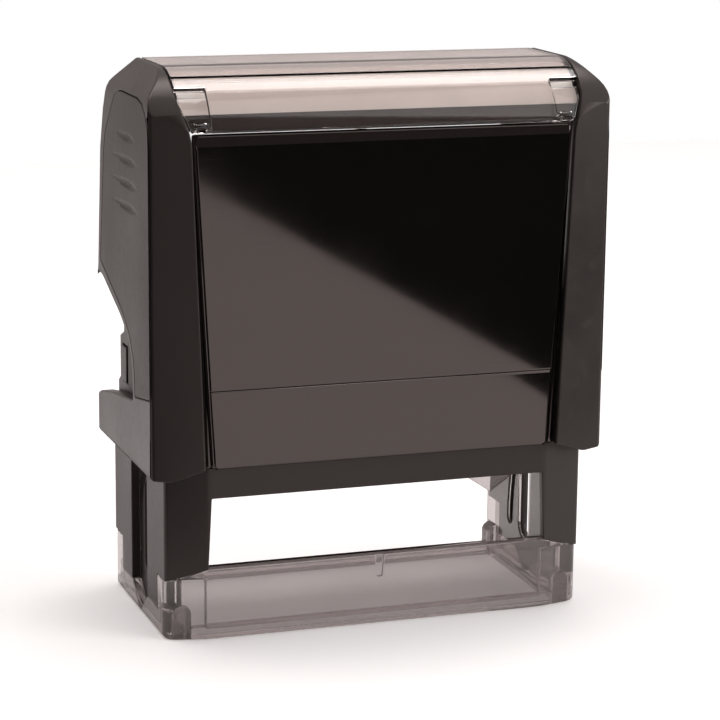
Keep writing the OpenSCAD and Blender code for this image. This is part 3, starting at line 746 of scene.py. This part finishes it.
@dataclass
class Cartridge(SubAssembly):
    """The ink tray and its felt pad."""

    crown: float = 0.12 * MM
    corner: float = 0.6 * MM
    cuts_x: int = 40
    cuts_y: int = 16

    def build(self) -> None:
        """Builds and dresses the pieces."""
        self.add("ink_cartridge", self.palette.inner, "cartridge_black")
        self.pad()

    def pad(self) -> None:
        """Felt pad with soft corners whose exposed face is pressed a little hollow."""
        low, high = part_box("ink_pad")
        bpy.ops.object.select_all(action="DESELECT")
        bpy.ops.mesh.primitive_cube_add(size=1, location=(low + high) / 2)
        pad = bpy.context.active_object
        pad.name = "ink_pad_felt"
        pad.scale = high - low
        settle(pad)
        ease_edges(pad, self.corner, 4)
        middle = (low + high) / 2
        for axis, cuts in ((0, self.cuts_x), (1, self.cuts_y)):
            span = high[axis] - low[axis] - 4 * self.corner
            for i in range(cuts + 1):
                where = Vector(middle)
                where[axis] = low[axis] + 2 * self.corner + span * i / cuts
                slice_across(pad, where, axis)
        reach = Vector(((high.x - low.x) / 2, (high.y - low.y) / 2))
        for vertex in pad.data.vertices:
            if vertex.co.z < middle.z - self.corner:
                inset = max(abs(vertex.co.x - middle.x) / reach.x,
                            abs(vertex.co.y - middle.y) / reach.y)
                vertex.co.z += self.crown * max(0.0, 1 - inset ** 6)
        pick(pad)
        bpy.ops.object.shade_smooth_by_angle(angle=math.radians(50))
        dress(pad, self.palette.felt)
        self.keep(pad, frame["nodes"]["ink_pad"]["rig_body"], "pad_felt", "ink_pad")


def slice_across(obj: bpy.types.Object, where: Vector, axis: int) -> None:
    """Adds a ring of edges where a plane square to an axis cuts the piece.

    Args:
        obj: the piece.
        where: a point on the plane.
        axis: 0, 1 or 2 for X, Y or Z.
    """
    normal = Vector((0, 0, 0))
    normal[axis] = 1
    pick(obj)
    bpy.ops.object.mode_set(mode="EDIT")
    bpy.ops.mesh.select_all(action="SELECT")
    bpy.ops.mesh.bisect(plane_co=where, plane_no=normal)
    bpy.ops.object.mode_set(mode="OBJECT")


@dataclass
class ReturnSpring(SubAssembly):
    """Steel compression spring with closed ends, wound once at its rest length; it does not
    shorten as the cap comes down.

    At full press its share of the rest length would be pressed, which ends just short of the
    bridge.
    The sway crowds the free coils towards both ends.
    """

    wire: float = 0.9 * MM
    turns: float = 6.5
    closed: float = 1.0
    per_turn: int = 28
    around: int = 10
    pressed: float = 0.215
    sway: float = 0.04

    def height(self, turn: float, travel: float) -> float:
        """Level of the wire's centre above the first coil after some turns.

        Args:
            turn: turns from the lower end.
            travel: height between the first and the last wire centre.

        Returns:
            The level in metres.
        """
        dead = self.wire * self.closed
        free = travel - 2 * dead
        active = self.turns - 2 * self.closed
        if turn < self.closed:
            return dead * turn / self.closed
        if turn > self.turns - self.closed:
            return travel - dead * (self.turns - turn) / self.closed
        share = (turn - self.closed) / active
        return dead + free * (share - self.sway * math.sin(2 * math.pi * share))

    def build(self) -> None:
        """Winds the wire along its path and dresses it."""
        low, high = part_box("return_spring")
        middle = (low + high) / 2
        radius = (high.x - low.x) / 2 - self.wire / 2
        travel = high.z - low.z - self.wire
        path = bpy.data.curves.new("return_spring_path", "CURVE")
        path.dimensions = "3D"
        path.bevel_depth = self.wire / 2
        path.bevel_resolution = self.around // 2
        path.use_fill_caps = True
        count = int(self.turns * self.per_turn)
        line = path.splines.new("POLY")
        line.points.add(count)
        for i in range(count + 1):
            turn = self.turns * i / count
            angle = 2 * math.pi * turn
            line.points[i].co = (middle.x + radius * math.cos(angle),
                                 middle.y + radius * math.sin(angle),
                                 low.z + self.wire / 2 + self.height(turn, travel), 1)
        coil = bpy.data.objects.new("return_spring_coil", path)
        bpy.context.scene.collection.objects.link(coil)
        pick(coil)
        bpy.ops.object.convert(target="MESH")
        coil = bpy.context.active_object
        bpy.ops.object.mode_set(mode="EDIT")
        bpy.ops.mesh.select_all(action="SELECT")
        bpy.ops.mesh.remove_doubles(threshold=0.001 * MM)
        bpy.ops.mesh.normals_make_consistent(inside=False)
        bpy.ops.object.mode_set(mode="OBJECT")
        bpy.ops.object.shade_smooth_by_angle(angle=math.radians(50))
        dress(coil, self.palette.spring)
        self.keep(coil, "frame", "steel", "return_spring")
        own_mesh(coil)


# ---------------------------------------------------------------------------------------------
# Studio


@dataclass
class Studio:
    """Pale floor, soft light and the camera."""

    azimuth: float = -19.1038
    elevation: float = 12.5599
    roll: float = 0.58096
    offset: Point = (2.9425 * MM, 42.6024 * MM, 474.0994 * MM)
    lens: float = 128.781
    floor_size: float = 2.0
    floor_middle: float = -0.45
    floor_glow: float = 0.22

    def build(self) -> None:
        """Builds the studio."""
        bpy.context.scene.view_settings.view_transform = "Standard"
        self.camera()
        self.floor()
        self.sky()
        self.lamp("key", (0.75, -0.62, 0.95), 1.1, 1.1, 4.5)
        self.lamp("left_wall", (-0.85, 0.75, 0.4), 0.6, 0.8, 0.7, (1.0, 0.8, 0.76))
        self.lamp("right_wall", (1.1, -0.8, 0.34), 0.7, 0.5, 9.0)
        self.lamp("overhead", (0.0, 0.16, 1.1), 1.0, 0.45, 7.5)
        self.flag("dark_flag_right", (0.1, -1.4, 0.003), (0.88, 1.3))
        self.flag("dark_flag_left", (-0.99, -0.6, 0.004), (0.95, 0.55))

    def camera(self) -> None:
        """Adds the camera, turned to the viewing angle."""
        a, e, r = (math.radians(v) for v in (self.azimuth, self.elevation, self.roll))
        back = Vector((math.sin(a) * math.cos(e), -math.cos(a) * math.cos(e), math.sin(e)))
        right = Vector((math.cos(a), math.sin(a), 0))
        up = back.cross(right)
        right, up = (right * math.cos(r) + up * math.sin(r),
                     up * math.cos(r) - right * math.sin(r))
        data = bpy.data.cameras.new("camera")
        data.lens = self.lens
        data.sensor_width = 36
        data.clip_start = 0.01
        cam = bpy.data.objects.new("camera", data)
        bpy.context.scene.collection.objects.link(cam)
        turn = Matrix((right, up, back)).transposed()
        cam.matrix_world = Matrix.Translation(turn @ Vector(self.offset)) @ turn.to_4x4()
        bpy.context.scene.camera = cam

    def floor(self) -> None:
        """Adds the pale floor, with a faint paper grain."""
        bpy.ops.object.select_all(action="DESELECT")
        bpy.ops.mesh.primitive_plane_add(size=self.floor_size,
                                         location=(0, self.floor_middle, 0))
        plane = bpy.context.active_object
        plane.name = "floor"
        board = Board("floor_paper")
        skin = board.node("BsdfPrincipled")
        cloud = board.noise(0.05, 2.0)
        board.feed(skin.inputs["Base Color"],
                   board.blend(board.ranged(cloud, 0.3, 0.7, 0.0, 1.0), (0.93, 0.93, 0.93),
                               (0.95, 0.95, 0.95)))
        skin.inputs["Roughness"].default_value = 0.8
        glow = board.node("Emission")
        glow.inputs["Color"].default_value = (1.0, 1.0, 1.0, 1.0)
        path = board.node("LightPath")
        straight = board.sum_of(path.outputs["Is Camera Ray"],
                                path.outputs["Is Transmission Ray"], "MAXIMUM")
        board.feed(glow.inputs["Strength"], board.sum_of(straight, self.floor_glow, "MULTIPLY"))
        both = board.node("AddShader")
        board.feed(both.inputs[0], skin.outputs[0])
        board.feed(both.inputs[1], glow.outputs[0])
        board.feed(board.out.inputs["Surface"], both.outputs[0])
        dress(plane, board.material)

    def sky(self) -> None:
        """Shows the camera plain white, and lights the stamp warmly, less from the front."""
        world = bpy.data.worlds.new("room")
        bpy.context.scene.world = world
        world.use_nodes = True
        tree = world.node_tree
        tree.nodes.clear()
        place = tree.nodes.new("ShaderNodeTexCoord")
        split = tree.nodes.new("ShaderNodeSeparateXYZ")
        ranger = tree.nodes.new("ShaderNodeMapRange")
        path = tree.nodes.new("ShaderNodeLightPath")
        room = tree.nodes.new("ShaderNodeBackground")
        seen = tree.nodes.new("ShaderNodeBackground")
        either = tree.nodes.new("ShaderNodeMixShader")
        out = tree.nodes.new("ShaderNodeOutputWorld")
        tree.links.new(place.outputs["Generated"], split.inputs[0])
        tree.links.new(split.outputs["Y"], ranger.inputs["Value"])
        for key, value in (("From Min", -0.4), ("From Max", 0.5), ("To Min", 0.12),
                           ("To Max", 0.58)):
            ranger.inputs[key].default_value = value
        tree.links.new(ranger.outputs[0], room.inputs["Strength"])
        room.inputs["Color"].default_value = (1.0, 0.89, 0.86, 1.0)
        seen.inputs["Color"].default_value = (1.0, 1.0, 1.0, 1.0)
        tree.links.new(path.outputs["Is Camera Ray"], either.inputs[0])
        tree.links.new(room.outputs[0], either.inputs[1])
        tree.links.new(seen.outputs[0], either.inputs[2])
        tree.links.new(either.outputs[0], out.inputs["Surface"])

    def lamp(self, name: str, place: Point, width: float, height: float, power: float,
             colour: Colour = (1.0, 0.97, 0.96)) -> None:
        """Adds a soft box that faces the middle of the stamp.

        Args:
            name: name of the lamp.
            place: its middle, in metres.
            width: its width.
            height: its height.
            power: its power in watts.
            colour: its colour.
        """
        data = bpy.data.lights.new(name, "AREA")
        data.shape = "RECTANGLE"
        data.size = width
        data.size_y = height
        data.energy = power
        data.color = colour
        lamp = bpy.data.objects.new(name, data)
        bpy.context.scene.collection.objects.link(lamp)
        toward = Vector((0, 0, 0.05)) - Vector(place)
        lamp.matrix_world = (Matrix.Translation(place)
                             @ toward.to_track_quat("-Z", "Y").to_matrix().to_4x4())

    def flag(self, name: str, corner: Point, size: tuple[float, float]) -> None:
        """Lays a dark board on the floor, seen only in mirrored light, to deepen the blacks.

        Args:
            name: name of the board.
            corner: its corner with the lowest X and Y, in metres.
            size: its width along X and its depth along Y.
        """
        bpy.ops.object.select_all(action="DESELECT")
        bpy.ops.mesh.primitive_plane_add(size=1, location=(corner[0] + size[0] / 2,
                                                           corner[1] + size[1] / 2, corner[2]))
        board = bpy.context.active_object
        board.name = name
        board.scale = (*size, 1)
        settle(board)
        for switch in ("visible_camera", "visible_diffuse", "visible_transmission",
                       "visible_shadow", "visible_volume_scatter"):
            setattr(board, switch, False)
        finish = Board(name)
        cloth = finish.node("BsdfDiffuse")
        cloth.inputs["Color"].default_value = (0.01, 0.01, 0.01, 1.0)
        finish.feed(finish.out.inputs["Surface"], cloth.outputs[0])
        dress(board, finish.material)


def main() -> None:
    """Builds the stamp in order, from the floor up."""
    logging.basicConfig(level=logging.INFO, format="%(message)s")
    palette = Palette.mixed(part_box("rubber_die")[1].z)
    Studio().build()
    for group in (ClearFoot, Housing, PrintingUnit, Cartridge, ReturnSpring, Cap):
        group(palette).build()
        LOG.info("built %s", group.__name__)


if __name__ == "__main__":
    main()
